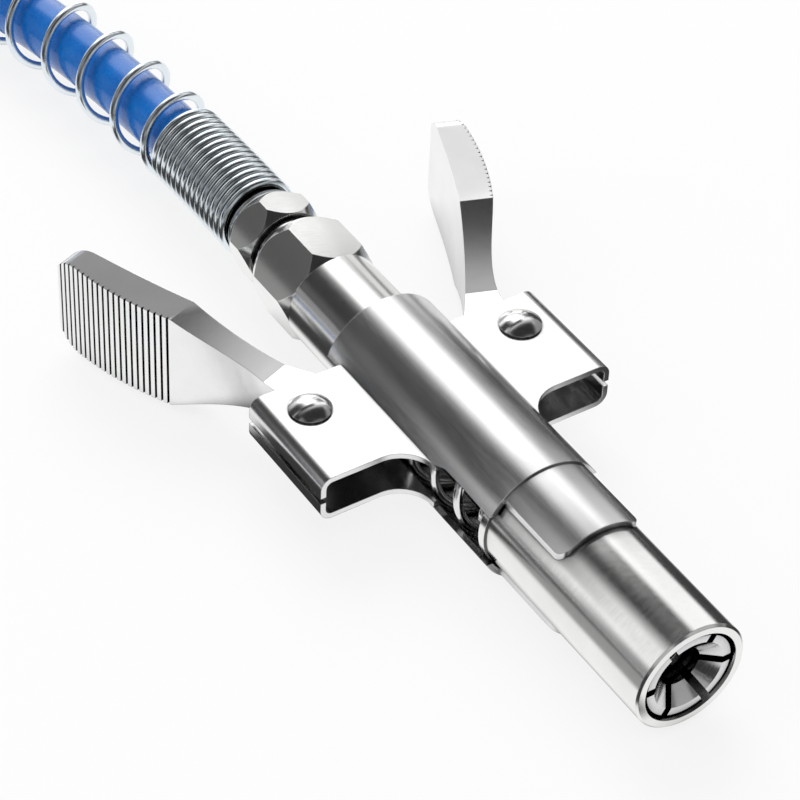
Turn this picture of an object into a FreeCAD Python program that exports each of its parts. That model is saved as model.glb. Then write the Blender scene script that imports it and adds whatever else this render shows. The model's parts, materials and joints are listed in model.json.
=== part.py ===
import FreeCAD, Part
import math
import os
from FreeCAD import Vector

os.makedirs("parts", exist_ok=True)

# Millimetres. The bore axis runs along Y from the nozzle face (y = 0) to the hose.
# Named places are measured from the nozzle face, and place() moves each solid to its seat on the floor.

# Running gap between pieces that slide or turn on each other
RUNNING_GAP = 0.05
# Gap that keeps two pieces apart where they only rest against each other
REST_GAP = 0.02

# Nozzle sleeve
SLEEVE_RADIUS = 8.0
SLEEVE_LENGTH = 33.4
SLEEVE_BORE_RADIUS = 6.5
SLEEVE_MOUTH_RADIUS = 6.75
SLEEVE_LAND_RADIUS = 5.75
SLEEVE_TAPER_LENGTH = 3.33
SLEEVE_LAND_LENGTH = 1.5
SLEEVE_EDGE_CHAMFER = 0.3

# Stamped shells
SHEET = 0.8
TONGUE_LENGTH = 12.1
TONGUE_HALF_ANGLE = 43.0
TONGUE_CORNER_RADIUS = 1.5
SHELL_OVER_SLEEVE = 2.0
SHELL_BEHIND_EARS = 2.9
SHELL_STEP = 0.28
CHANNEL_EDGE_HEIGHT = 4.2
CHANNEL_SLOPE_LENGTH = 4.0
EAR_LENGTH = 17.7
EAR_BEHIND_PIVOT = 5.4
EAR_HALF_WIDTH = 22.3
EAR_INNER_HEIGHT = 2.7
EAR_BEND_RADIUS = 1.8
EAR_PLAN_FILLET = 5.0
EAR_SLOT = 0.9

# Rivets, which are the lever pivots
PIVOT_FROM_EAR_EDGE = 5.9
RIVET_RADIUS = 1.5
RIVET_HEAD_RADIUS = 2.9
RIVET_HEAD_HEIGHT = 1.4
RIVET_RIM_HEIGHT = 0.25
RIVET_DOME_STEPS = 3

# Levers
LEVER_NECK_GAP = 0.08
LEVER_HUB_RADIUS = 3.8
LEVER_HUB_EDGE = 0.4
LEVER_ARM_HALF_WIDTH = 1.1
LEVER_NOSE_X = 7.3
LEVER_NOSE_RADIUS = 1.5
LEVER_NOSE_GAP = 0.03
LEVER_REST_ANGLE = 12.0
LEVER_SPREAD_BEHIND_EAR = 3.1
LEVER_SPREAD_HOLLOW = 0.35
HANDLE_LENGTH = 41.1
HANDLE_ANGLE = 20.0
PAD_HALF_HEIGHT = 7.5
PAD_CORNER_RADIUS = 5.0
PAD_RIB_COUNT = 21
PAD_GROOVE_DEPTH = 0.45
PAD_GROOVE_HALF_WIDTH = 0.3
GROOVE_OVERRUN = 0.3

# Plan of the right handle: places from the pivot as shares of its length, outwards and rearwards
HANDLE_OUTER = [(0.0365, 0.1437), (0.0681, 0.2556), (0.1363, 0.3724), (0.2202, 0.4940)]
HANDLE_CROWN = (0.3285, 0.7422)
HANDLE_TIP = [(0.372, 0.962), (0.344, 1.0), (0.296, 0.985)]
HANDLE_INNER = [(0.296, 0.985), (0.2165, 0.7738), (0.1095, 0.5281), (-0.0243, 0.2848), (-0.1265, 0.1388)]

# Core body
CORE_NOSE_FRONT = 7.4
CORE_NOSE_RADIUS = 3.9
CORE_EDGE = 0.3
HINGE_GROOVE_RADIUS = 3.1
HINGE_GROOVE_WIDTH = 2.4
HINGE_GROOVE_FRONT = 17.8
CORE_COLLAR_LENGTH = 10.8
CORE_BARREL_RADIUS = 4.9
FLANGE_THICKNESS = 3.9
FLANGE_REAR = 60.9
WAIST_RADIUS = 5.2
WAIST_LENGTH = 5.6
NECK_RADIUS = 7.1
BIG_HEX_FRONT = 80.7
BIG_HEX_LENGTH = 10.2
BIG_HEX_FLATS = 14.0
HEX_CHAMFER_ANGLE = 30.0
HEX_FACE_EDGE = 0.1
HEX_OVERLAP = 0.5
HEX_TURN = 42.0
GREASE_BORE_RADIUS = 1.4
VALVE_CHAMBER_RADIUS = 2.0
VALVE_CHAMBER_REAR = 19.0
SEAL_POCKET_RADIUS = 2.9
SEAL_POCKET_DEPTH = 3.0
SOCKET_DEPTH = 5.6
SOCKET_RADIUS = 4.9

# Seal, check ball and their spring
SEAL_STANDOUT = 2.2
SEAL_RING_THICKNESS = 0.5
SEAL_RING_HOLE = 1.6
SEAL_HOLE_RADIUS = 1.1
SEAL_LIP_DEPTH = 1.0
SEAL_LIP_WIDTH = 0.5
SEAL_EDGE = 0.2
BALL_RADIUS = 1.6
CHECK_WIRE_RADIUS = 0.2
CHECK_SPRING_RADIUS = 1.4
CHECK_SPRING_TURNS = 3.0

# Jaws
JAW_COUNT = 6
JAW_FACE = 0.4
JAW_SLOT = 1.1
JAW_SHANK_RADIUS = 5.1
JAW_THROAT_RADIUS = 2.9
JAW_THROAT_PLACE = 2.2
JAW_THROAT_LAND = 0.5
JAW_THROAT_RISE = 1.5
JAW_LEAD_RADIUS = 5.1
JAW_CAVITY_RADIUS = 3.4
JAW_RIM_RADIUS = 6.2
JAW_RIM_DEPTH = 0.9
JAW_SHANK_GAP = 0.3
JAW_CAVITY_STEP = 0.8
JAW_HEEL_GAP = 0.15
JAW_RING_WIRE = 0.6
JAW_RING_OPENING = 8.0

# Main spring
SPRING_WIRE_RADIUS = 0.65
SPRING_RADIUS = 7.4
SPRING_TURNS = 4.0
SPRING_START_ANGLE = -80.0

# Flat sides that stand for the round of thin wire and of the hose, and sections in one turn of wire
WIRE_SIDES = 6
COIL_STEPS = 16
HOSE_SIDES = 12

# Hose adapter and ferrule
ADAPTER_NECK_RADIUS = 5.3
ADAPTER_RING_COUNT = 2
ADAPTER_RING_DEPTH = 0.4
SMALL_HEX_FRONT = 93.3
SMALL_HEX_LENGTH = 5.6
SMALL_HEX_FLATS = 12.0
ADAPTER_COLLAR_LENGTH = 1.1
ADAPTER_COLLAR_FRONT_RADIUS = 5.9
ADAPTER_COLLAR_REAR_RADIUS = 5.5
BARB_RADIUS = 2.6
BARB_LENGTH = 2.9
FERRULE_REAR = 121.12
FERRULE_WALL = 0.5

# Hose, its guard spring and the fitting at its far end
HOSE_RADIUS = 4.35
GUARD_WIRE_RADIUS = 0.65
GUARD_DEAD_REAR = 122.3
GUARD_OPEN_RADIUS = 5.95
GUARD_OPEN_PITCH = 9.2
GUARD_OPEN_TURNS = 7
GUARD_COIL_STEPS = 14
GUARD_LEAD_TURNS = 1.4
GUARD_OVERLAP = 1.2
FAR_FERRULE_RADIUS = 5.2
FAR_FERRULE_LENGTH = 16.0
FAR_FERRULE_BEYOND_HOSE = 4.0
FAR_SPIGOT_RADIUS = 2.5
FAR_HEX_FLATS = 12.0
FAR_HEX_LENGTH = 7.0
FAR_THREAD_RADIUS = 4.95
FAR_THREAD_LENGTH = 9.0
FAR_THREAD_CHAMFER = 0.8

# Route of the hose: plan places and heights above the floor, from inside the ferrule to the far ferrule
HOSE_ROUTE = [
    (0.0, 104.0, 9.1),
    (0.0, 138.0, 9.1),
    (-8.6, 183.6, 7.4),
    (-36.5, 214.0, 5.9),
    (-79.5, 217.5, 4.4),
    (-115.0, 193.0, 4.4),
    (-130.0, 152.5, 5.6),
    (-133.5, 112.5, 6.0),
]

# Sizes that follow from the ones above
TONGUE_INNER_RADIUS = SLEEVE_RADIUS + REST_GAP
TONGUE_OUTER_RADIUS = TONGUE_INNER_RADIUS + SHEET
SHELL_INNER_RADIUS = TONGUE_INNER_RADIUS + SHELL_STEP
SHELL_OUTER_RADIUS = SHELL_INNER_RADIUS + SHEET
SHELL_FRONT = SLEEVE_LENGTH - SHELL_OVER_SLEEVE
SHOULDER = SHELL_FRONT + SHEET
TONGUE_FRONT = SHELL_FRONT - TONGUE_LENGTH
EAR_TOP = EAR_INNER_HEIGHT + SHEET
AXIS_HEIGHT = SHELL_OUTER_RADIUS
PIVOT_X = EAR_HALF_WIDTH - PIVOT_FROM_EAR_EDGE
LEVER_HALF_HEIGHT = EAR_INNER_HEIGHT - LEVER_NECK_GAP
LEVER_ARM_LENGTH = (PIVOT_X - LEVER_NOSE_X) / math.cos(math.radians(LEVER_REST_ANGLE))
NOSE_PLACE = FLANGE_REAR + LEVER_NOSE_RADIUS + LEVER_NOSE_GAP
PIVOT_Y = NOSE_PLACE - LEVER_ARM_LENGTH * math.sin(math.radians(LEVER_REST_ANGLE))
EAR_REAR = PIVOT_Y + EAR_BEHIND_PIVOT
EAR_FRONT = EAR_REAR - EAR_LENGTH
SHELL_REAR = EAR_REAR + SHELL_BEHIND_EARS
HANDLE_SINE = math.sin(math.radians(HANDLE_ANGLE))
HANDLE_COSINE = math.cos(math.radians(HANDLE_ANGLE))
PAD_FRONT = PIVOT_Y + HANDLE_LENGTH * (
    HANDLE_OUTER[-1][0] * HANDLE_SINE + HANDLE_OUTER[-1][1] * HANDLE_COSINE)
PAD_REAR = PIVOT_Y + HANDLE_LENGTH * (HANDLE_TIP[1][0] * HANDLE_SINE + HANDLE_TIP[1][1] * HANDLE_COSINE)
FLANGE_RADIUS = SHELL_INNER_RADIUS - RUNNING_GAP
COLLAR_RADIUS = SLEEVE_BORE_RADIUS - RUNNING_GAP
HINGE_GROOVE_REAR = HINGE_GROOVE_FRONT + HINGE_GROOVE_WIDTH
COLLAR_REAR = HINGE_GROOVE_REAR + CORE_COLLAR_LENGTH
FLANGE_FRONT = FLANGE_REAR - FLANGE_THICKNESS
BIG_HEX_REAR = BIG_HEX_FRONT + BIG_HEX_LENGTH
SMALL_HEX_REAR = SMALL_HEX_FRONT + SMALL_HEX_LENGTH
ADAPTER_COLLAR_REAR = SMALL_HEX_REAR + ADAPTER_COLLAR_LENGTH
FERRULE_FRONT = ADAPTER_COLLAR_REAR + REST_GAP
FERRULE_BORE = HOSE_RADIUS + REST_GAP
FERRULE_RADIUS = FERRULE_BORE + FERRULE_WALL
BARB_REAR = ADAPTER_COLLAR_REAR + BARB_LENGTH
HOSE_FRONT = BARB_REAR + 5 * REST_GAP
GUARD_FRONT = ADAPTER_COLLAR_REAR + 5 * REST_GAP
SEAL_REAR = CORE_NOSE_FRONT + SEAL_POCKET_DEPTH
BALL_PLACE = SEAL_REAR + math.sqrt(BALL_RADIUS ** 2 - SEAL_HOLE_RADIUS ** 2) + REST_GAP
MIDDLE = FERRULE_REAR / 2.0

Y_AXIS = Vector(0, 1, 0)
Z_AXIS = Vector(0, 0, 1)


def place(shape):
    moved = shape.copy()
    moved.translate(Vector(0, -MIDDLE, AXIS_HEIGHT))
    return moved


def save(name, shape):
    place(shape).exportStep("parts/" + name + ".step")


def outline(points):
    """Closed face in the half plane of the axis, from (radius, place) pairs."""
    corners = [Vector(radius, y, 0) for radius, y in points]
    return Part.Face(Part.makePolygon(corners + corners[:1]))


def turned(points):
    return outline(points).revolve(Vector(0, 0, 0), Y_AXIS, 360)


def rod(radius, front, rear):
    return Part.makeCylinder(radius, rear - front, Vector(0, front, 0), Y_AXIS)


def box(low, high):
    size = [b - a for a, b in zip(low, high)]
    return Part.makeBox(size[0], size[1], size[2], Vector(*low))


def hexagon(flats, front, rear, turn):
    """Hexagonal bar along Y whose corners are turned down at both ends."""
    corner = flats / math.sqrt(3)
    angles = [math.radians(turn + 60 * step) for step in range(7)]
    ring = [Vector(corner * math.sin(a), front, corner * math.cos(a)) for a in angles]
    bar = Part.Face(Part.makePolygon(ring)).extrude(Vector(0, rear - front, 0))
    low = flats / 2 - HEX_FACE_EDGE
    chamfer = (corner - low) / math.tan(math.radians(HEX_CHAMFER_ANGLE))
    blank = turned([
        (0, front), (low, front), (corner, front + chamfer),
        (corner, rear - chamfer), (low, rear), (0, rear),
    ])
    return bar.common(blank)


def coil(radius, wire_radius, front, rear, turns, start_angle=0.0):
    """Wire wound about the axis between two places, lofted through flat-sided sections."""
    steps = math.ceil(COIL_STEPS * turns)
    sections = []
    for step in range(steps + 1):
        angle = math.radians(start_angle) + 2 * math.pi * turns * step / steps
        out = Vector(math.sin(angle), 0, math.cos(angle))
        centre = out * radius + Y_AXIS * (front + (rear - front) * step / steps)
        corners = []
        for side in range(WIRE_SIDES + 1):
            around = 2 * math.pi * side / WIRE_SIDES
            away = out * math.cos(around) + Y_AXIS * math.sin(around)
            corners.append(centre + away * wire_radius)
        sections.append(Part.makePolygon(corners))
    return Part.makeLoft(sections, True, True)


def sleeve():
    land_rear = SLEEVE_TAPER_LENGTH + SLEEVE_LAND_LENGTH
    relief = land_rear + SLEEVE_BORE_RADIUS - SLEEVE_LAND_RADIUS
    flange_front = SHOULDER + REST_GAP
    flange_radius = SHELL_INNER_RADIUS - REST_GAP
    return turned([
        (SLEEVE_MOUTH_RADIUS, 0),
        (SLEEVE_RADIUS - SLEEVE_EDGE_CHAMFER, 0),
        (SLEEVE_RADIUS, SLEEVE_EDGE_CHAMFER),
        (SLEEVE_RADIUS, flange_front),
        (flange_radius, flange_front),
        (flange_radius, SLEEVE_LENGTH),
        (SLEEVE_BORE_RADIUS, SLEEVE_LENGTH),
        (SLEEVE_BORE_RADIUS, relief),
        (SLEEVE_LAND_RADIUS, land_rear),
        (SLEEVE_LAND_RADIUS, SLEEVE_TAPER_LENGTH),
    ])


def tongue():
    """Narrow front strip of a shell, rolled over the sleeve, with rounded corners."""
    ring = rod(TONGUE_OUTER_RADIUS, TONGUE_FRONT, SHOULDER).cut(
        rod(TONGUE_INNER_RADIUS, TONGUE_FRONT, SHOULDER))
    half = TONGUE_OUTER_RADIUS * math.sin(math.radians(TONGUE_HALF_ANGLE))
    corner = TONGUE_CORNER_RADIUS
    a = Vector(-half, SHOULDER, 0)
    b = Vector(-half, TONGUE_FRONT + corner, 0)
    c = Vector(-half + corner, TONGUE_FRONT, 0)
    d = Vector(half - corner, TONGUE_FRONT, 0)
    e = Vector(half, TONGUE_FRONT + corner, 0)
    f = Vector(half, SHOULDER, 0)
    turn = corner * (1 - math.sqrt(0.5))
    left = Vector(-half + turn, TONGUE_FRONT + turn, 0)
    right = Vector(half - turn, TONGUE_FRONT + turn, 0)
    plan = Part.Wire([
        Part.makeLine(a, b), Part.Arc(b, left, c).toShape(), Part.makeLine(c, d),
        Part.Arc(d, right, e).toShape(), Part.makeLine(e, f), Part.makeLine(f, a),
    ])
    return ring.common(Part.Face(plan).extrude(Vector(0, 0, 2 * TONGUE_OUTER_RADIUS)))


def ear_plate(side):
    """Flat ear with a plan fillet where its front edge runs into the arched channel."""
    inner = side * SLEEVE_BORE_RADIUS
    root = side * math.sqrt(SHELL_OUTER_RADIUS ** 2 - EAR_TOP ** 2)
    edge = side * (EAR_HALF_WIDTH - EAR_BEND_RADIUS)
    fillet = EAR_PLAN_FILLET
    turn = fillet * (1 - math.sqrt(0.5))
    start = Vector(inner, EAR_REAR, 0)
    front = Vector(inner, EAR_FRONT - fillet, 0)
    low = Vector(root, EAR_FRONT - fillet, 0)
    middle = Vector(root + side * turn, EAR_FRONT - turn, 0)
    high = Vector(root + side * fillet, EAR_FRONT, 0)
    outer = Vector(edge, EAR_FRONT, 0)
    rear = Vector(edge, EAR_REAR, 0)
    plan = Part.Wire([
        Part.makeLine(start, front), Part.makeLine(front, low),
        Part.Arc(low, middle, high).toShape(), Part.makeLine(high, outer),
        Part.makeLine(outer, rear), Part.makeLine(rear, start),
    ])
    plate = Part.Face(plan).extrude(Vector(0, 0, SHEET))
    plate.translate(Vector(0, 0, EAR_INNER_HEIGHT))
    return plate


def ear_flange(side):
    """Outer edge of an ear, bent down towards the other shell."""
    bend = EAR_BEND_RADIUS
    tight = bend - SHEET
    root = EAR_HALF_WIDTH - bend
    low = EAR_SLOT / 2
    centre = EAR_TOP - bend
    sharp = math.sqrt(0.5)

    def corner(x, z):
        return Vector(side * x, EAR_FRONT, z)

    section = Part.Wire([
        Part.makeLine(corner(root, EAR_INNER_HEIGHT), corner(root, EAR_TOP)),
        Part.Arc(corner(root, EAR_TOP), corner(root + bend * sharp, centre + bend * sharp),
                 corner(EAR_HALF_WIDTH, centre)).toShape(),
        Part.makeLine(corner(EAR_HALF_WIDTH, centre), corner(EAR_HALF_WIDTH, low)),
        Part.makeLine(corner(EAR_HALF_WIDTH, low), corner(EAR_HALF_WIDTH - SHEET, low)),
        Part.makeLine(corner(EAR_HALF_WIDTH - SHEET, low), corner(EAR_HALF_WIDTH - SHEET, centre)),
        Part.Arc(corner(EAR_HALF_WIDTH - SHEET, centre), corner(root + tight * sharp, centre + tight * sharp),
                 corner(root, EAR_INNER_HEIGHT)).toShape(),
    ])
    return Part.Face(section).extrude(Vector(0, EAR_REAR - EAR_FRONT, 0))


def shell():
    """Upper shell: tongue, arched channel and two ears from one sheet."""
    wide = 2 * SHELL_OUTER_RADIUS
    slope_rear = EAR_FRONT - 0.5 * EAR_PLAN_FILLET
    side_view = [
        Vector(-wide, SHELL_FRONT, CHANNEL_EDGE_HEIGHT),
        Vector(-wide, slope_rear - CHANNEL_SLOPE_LENGTH, CHANNEL_EDGE_HEIGHT),
        Vector(-wide, slope_rear, EAR_INNER_HEIGHT),
        Vector(-wide, SHELL_REAR, EAR_INNER_HEIGHT),
        Vector(-wide, SHELL_REAR, wide),
        Vector(-wide, SHELL_FRONT, wide),
    ]
    keep = Part.Face(Part.makePolygon(side_view + side_view[:1])).extrude(Vector(2 * wide, 0, 0))
    body = rod(SHELL_OUTER_RADIUS, SHELL_FRONT, SHELL_REAR).common(keep)
    for side in (-1, 1):
        body = body.fuse(ear_plate(side)).fuse(ear_flange(side))
    body = body.cut(rod(SHELL_INNER_RADIUS, SHELL_FRONT - 1, SHELL_REAR + 1))
    body = body.fuse(tongue())
    for side in (-1, 1):
        hole = Part.makeCylinder(RIVET_RADIUS, 2 * EAR_TOP, Vector(side * PIVOT_X, PIVOT_Y, 0), Z_AXIS)
        body = body.cut(hole)
    return body.removeSplitter()


def rivet(side):
    """Pivot pin with a domed head on each side, flush on the ears."""
    rise = RIVET_HEAD_HEIGHT - RIVET_RIM_HEIGHT
    dome_radius = (rise ** 2 + RIVET_HEAD_RADIUS ** 2) / (2 * rise)
    sweep = math.asin(RIVET_HEAD_RADIUS / dome_radius)
    half = [(RIVET_RADIUS, EAR_TOP), (RIVET_HEAD_RADIUS, EAR_TOP)]
    for step in range(RIVET_DOME_STEPS):
        angle = sweep * (1 - step / RIVET_DOME_STEPS)
        height = EAR_TOP + RIVET_HEAD_HEIGHT - dome_radius * (1 - math.cos(angle))
        half.append((dome_radius * math.sin(angle), height))
    half.append((0, EAR_TOP + RIVET_HEAD_HEIGHT))
    whole = turned([(radius, -height) for radius, height in reversed(half)] + half)
    whole.rotate(Vector(0, 0, 0), Vector(1, 0, 0), 90)
    whole.translate(Vector(side * PIVOT_X, PIVOT_Y, 0))
    return whole


def on_handle(spot):
    """Place on the handle's plan, from its shares of the handle's length."""
    return Vector(PIVOT_X + spot[0] * HANDLE_LENGTH, PIVOT_Y + spot[1] * HANDLE_LENGTH, 0)


def pad_face():
    """Crowned outer face of the gripping pad, seen from above."""
    return Part.Arc(on_handle(HANDLE_OUTER[-1]), on_handle(HANDLE_CROWN), on_handle(HANDLE_TIP[0]))


def lever_plan():
    """Plan outline of the handle, from the hub to the pad's tip."""
    outer = Part.BSplineCurve()
    outer.interpolate([on_handle(spot) for spot in HANDLE_OUTER])
    tip = Part.Arc(*[on_handle(spot) for spot in HANDLE_TIP])
    inner = Part.BSplineCurve()
    inner.interpolate([on_handle(spot) for spot in HANDLE_INNER])
    reach = LEVER_HUB_RADIUS - LEVER_HUB_EDGE
    hub_inner = Vector(PIVOT_X - reach, PIVOT_Y, 0)
    hub_outer = Vector(PIVOT_X + reach, PIVOT_Y, 0)
    return Part.Wire([
        Part.makeLine(hub_outer, on_handle(HANDLE_OUTER[0])), outer.toShape(), pad_face().toShape(),
        tip.toShape(), inner.toShape(), Part.makeLine(on_handle(HANDLE_INNER[-1]), hub_inner),
        Part.makeLine(hub_inner, hub_outer),
    ])


def lever_side():
    """Side outline: low in the box, spreading to the full height of the pad, rounded at the tip."""
    low = LEVER_HALF_HEIGHT
    full = PAD_HALF_HEIGHT
    corner = PAD_CORNER_RADIUS
    turn = corner * (1 - math.sqrt(0.5))
    start = PIVOT_Y - 2 * LEVER_HUB_RADIUS
    spread = EAR_REAR + LEVER_SPREAD_BEHIND_EAR
    middle = 0.5 * (spread + PAD_FRONT)
    edges = []
    for side in (1, -1):
        a = Vector(0, start, side * low)
        b = Vector(0, spread, side * low)
        c = Vector(0, middle, side * (0.5 * (low + full) - LEVER_SPREAD_HOLLOW))
        d = Vector(0, PAD_FRONT, side * full)
        e = Vector(0, PAD_REAR - corner, side * full)
        f = Vector(0, PAD_REAR - turn, side * (full - turn))
        g = Vector(0, PAD_REAR, side * (full - corner))
        edges += [Part.makeLine(a, b), Part.Arc(b, c, d).toShape(), Part.makeLine(d, e),
                  Part.Arc(e, f, g).toShape()]
    edges.append(Part.makeLine(Vector(0, start, low), Vector(0, start, -low)))
    edges.append(Part.makeLine(Vector(0, PAD_REAR, full - corner), Vector(0, PAD_REAR, corner - full)))
    whole = Part.Face(Part.Wire(Part.__sortEdges__(edges))).extrude(Vector(PIVOT_X + HANDLE_LENGTH, 0, 0))
    whole.rotate(Vector(PIVOT_X, PIVOT_Y, 0), Z_AXIS, -HANDLE_ANGLE)
    return whole


def lever_arm():
    """Short arm that pushes on the core's flange, with a round nose."""
    height = 2 * LEVER_HALF_HEIGHT
    low = -LEVER_HALF_HEIGHT
    nose = Part.makeCylinder(LEVER_NOSE_RADIUS, height, Vector(-LEVER_ARM_LENGTH, 0, low), Z_AXIS)
    bar = box((-LEVER_ARM_LENGTH, -LEVER_ARM_HALF_WIDTH, low), (0, LEVER_ARM_HALF_WIDTH, -low))
    hub = Part.makeCylinder(LEVER_HUB_RADIUS, height, Vector(0, 0, low), Z_AXIS)
    arm = nose.fuse([bar, hub])
    arm.rotate(Vector(0, 0, 0), Z_AXIS, -LEVER_REST_ANGLE)
    arm.translate(Vector(PIVOT_X, PIVOT_Y, 0))
    return arm


def lever_grooves():
    """Upright grooves that leave the pad's ribs standing."""
    face = pad_face()
    first = face.FirstParameter
    step = (face.LastParameter - first) / PAD_RIB_COUNT
    grooves = []
    for count in range(PAD_RIB_COUNT):
        spot = face.value(first + step * (count + 0.5))
        along = face.tangent(first + step * (count + 0.5))[0]
        out = Vector(along.y, -along.x, 0)
        lip = spot + out * GROOVE_OVERRUN
        width = along * PAD_GROOVE_HALF_WIDTH
        corners = [lip + width, lip - width, spot - out * PAD_GROOVE_DEPTH]
        vee = Part.Face(Part.makePolygon(corners + corners[:1])).extrude(Vector(0, 0, 4 * PAD_HALF_HEIGHT))
        vee.translate(Vector(0, 0, -2 * PAD_HALF_HEIGHT))
        grooves.append(vee)
    return grooves


def lever():
    """Right lever. The left one is its mirror image."""
    handle = Part.Face(lever_plan()).extrude(Vector(0, 0, 2 * PAD_HALF_HEIGHT))
    handle.translate(Vector(0, 0, -PAD_HALF_HEIGHT))
    handle = handle.common(lever_side())
    handle = handle.cut(lever_grooves())
    whole = handle.fuse(lever_arm()).removeSplitter()
    low = Vector(PIVOT_X, PIVOT_Y, -PAD_HALF_HEIGHT)
    bore = Part.makeCylinder(RIVET_RADIUS + RUNNING_GAP, 2 * PAD_HALF_HEIGHT, low, Z_AXIS)
    return whole.cut(bore)


def core_body():
    """Stem that carries the jaws, the flange that the levers push, and the rear hexagon."""
    waist_rear = FLANGE_REAR + WAIST_LENGTH
    stem = turned([
        (0, CORE_NOSE_FRONT),
        (CORE_NOSE_RADIUS - CORE_EDGE, CORE_NOSE_FRONT),
        (CORE_NOSE_RADIUS, CORE_NOSE_FRONT + CORE_EDGE),
        (CORE_NOSE_RADIUS, HINGE_GROOVE_FRONT),
        (HINGE_GROOVE_RADIUS, HINGE_GROOVE_FRONT),
        (HINGE_GROOVE_RADIUS, HINGE_GROOVE_REAR),
        (COLLAR_RADIUS, HINGE_GROOVE_REAR),
        (COLLAR_RADIUS, COLLAR_REAR),
        (CORE_BARREL_RADIUS, COLLAR_REAR),
        (CORE_BARREL_RADIUS, FLANGE_FRONT),
        (FLANGE_RADIUS, FLANGE_FRONT),
        (FLANGE_RADIUS, FLANGE_REAR),
        (WAIST_RADIUS, FLANGE_REAR),
        (WAIST_RADIUS, waist_rear),
        (NECK_RADIUS - CORE_EDGE, waist_rear),
        (NECK_RADIUS, waist_rear + CORE_EDGE),
        (NECK_RADIUS, BIG_HEX_FRONT + HEX_OVERLAP),
        (0, BIG_HEX_FRONT + HEX_OVERLAP),
    ])
    head = hexagon(BIG_HEX_FLATS, BIG_HEX_FRONT, BIG_HEX_REAR, HEX_TURN)
    body = stem.fuse(head)
    body = body.cut(rod(SEAL_POCKET_RADIUS, CORE_NOSE_FRONT - 1, SEAL_REAR))
    body = body.cut(rod(VALVE_CHAMBER_RADIUS, CORE_NOSE_FRONT, VALVE_CHAMBER_REAR))
    body = body.cut(rod(GREASE_BORE_RADIUS, CORE_NOSE_FRONT, BIG_HEX_REAR + 1))
    body = body.cut(rod(SOCKET_RADIUS, BIG_HEX_REAR - SOCKET_DEPTH, BIG_HEX_REAR + 1))
    return body.removeSplitter()


def seal_cup():
    front = CORE_NOSE_FRONT - SEAL_STANDOUT
    radius = SEAL_POCKET_RADIUS - REST_GAP
    rear = SEAL_REAR - REST_GAP
    return turned([
        (SEAL_HOLE_RADIUS, front + SEAL_LIP_DEPTH),
        (radius - SEAL_LIP_WIDTH, front),
        (radius - SEAL_EDGE, front),
        (radius, front + SEAL_EDGE),
        (radius, rear),
        (SEAL_HOLE_RADIUS, rear),
    ])


def seal_ring():
    """Steel ring that faces the seal."""
    rear = CORE_NOSE_FRONT - SEAL_STANDOUT - REST_GAP
    ring = rod(SEAL_POCKET_RADIUS - REST_GAP, rear - SEAL_RING_THICKNESS, rear)
    return ring.cut(rod(SEAL_RING_HOLE, rear - SEAL_RING_THICKNESS, rear))


def check_ball():
    return Part.makeSphere(BALL_RADIUS, Vector(0, BALL_PLACE, 0))


def check_spring():
    front = BALL_PLACE + math.sqrt(BALL_RADIUS ** 2 - (CHECK_SPRING_RADIUS - CHECK_WIRE_RADIUS) ** 2)
    rear = VALVE_CHAMBER_REAR - REST_GAP
    return coil(CHECK_SPRING_RADIUS, CHECK_WIRE_RADIUS, front + CHECK_WIRE_RADIUS,
                rear - CHECK_WIRE_RADIUS, CHECK_SPRING_TURNS)


def jaws():
    """Six gripping jaws: one turned collet, slit into equal sectors, sorted by angle."""
    taper = (SLEEVE_MOUTH_RADIUS - SLEEVE_LAND_RADIUS) / SLEEVE_TAPER_LENGTH
    cone = SLEEVE_MOUTH_RADIUS - RUNNING_GAP
    rim_rear = JAW_FACE + JAW_RIM_DEPTH
    cone_rear = (cone - JAW_SHANK_RADIUS) / taper
    heel_front = HINGE_GROOVE_FRONT + JAW_HEEL_GAP
    heel_rear = HINGE_GROOVE_REAR - JAW_HEEL_GAP
    heel_radius = HINGE_GROOVE_RADIUS + JAW_HEEL_GAP
    shank_bore = CORE_NOSE_RADIUS + JAW_SHANK_GAP
    cavity_rear = CORE_NOSE_FRONT - JAW_SHANK_GAP
    ring_front = 0.5 * (heel_front + heel_rear - JAW_RING_WIRE) - RUNNING_GAP
    ring_rear = ring_front + JAW_RING_WIRE + 2 * RUNNING_GAP
    groove = JAW_SHANK_RADIUS - JAW_RING_WIRE
    collet = turned([
        (JAW_LEAD_RADIUS, JAW_FACE),
        (JAW_RIM_RADIUS, JAW_FACE),
        (cone - taper * rim_rear, rim_rear),
        (JAW_SHANK_RADIUS, cone_rear),
        (JAW_SHANK_RADIUS, ring_front),
        (groove, ring_front),
        (groove, ring_rear),
        (JAW_SHANK_RADIUS, ring_rear),
        (JAW_SHANK_RADIUS, heel_rear),
        (heel_radius, heel_rear),
        (heel_radius, heel_front),
        (shank_bore, heel_front),
        (shank_bore, cavity_rear),
        (JAW_CAVITY_RADIUS, cavity_rear - JAW_CAVITY_STEP),
        (JAW_CAVITY_RADIUS, JAW_THROAT_PLACE + JAW_THROAT_RISE),
        (JAW_THROAT_RADIUS, JAW_THROAT_PLACE + JAW_THROAT_LAND),
        (JAW_THROAT_RADIUS, JAW_THROAT_PLACE),
    ])
    slots = []
    for count in range(JAW_COUNT):
        slot = box((-JAW_SLOT / 2, 0, 0), (JAW_SLOT / 2, HINGE_GROOVE_REAR, SLEEVE_RADIUS))
        slot.rotate(Vector(0, 0, 0), Y_AXIS, 360.0 / JAW_COUNT * (count + 0.5))
        slots.append(slot)
    pieces = collet.cut(slots).Solids

    def angle(piece):
        middle = piece.CenterOfMass
        return round(math.degrees(math.atan2(middle.x, middle.z)), 3) % 360

    return sorted(pieces, key=angle)


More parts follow.
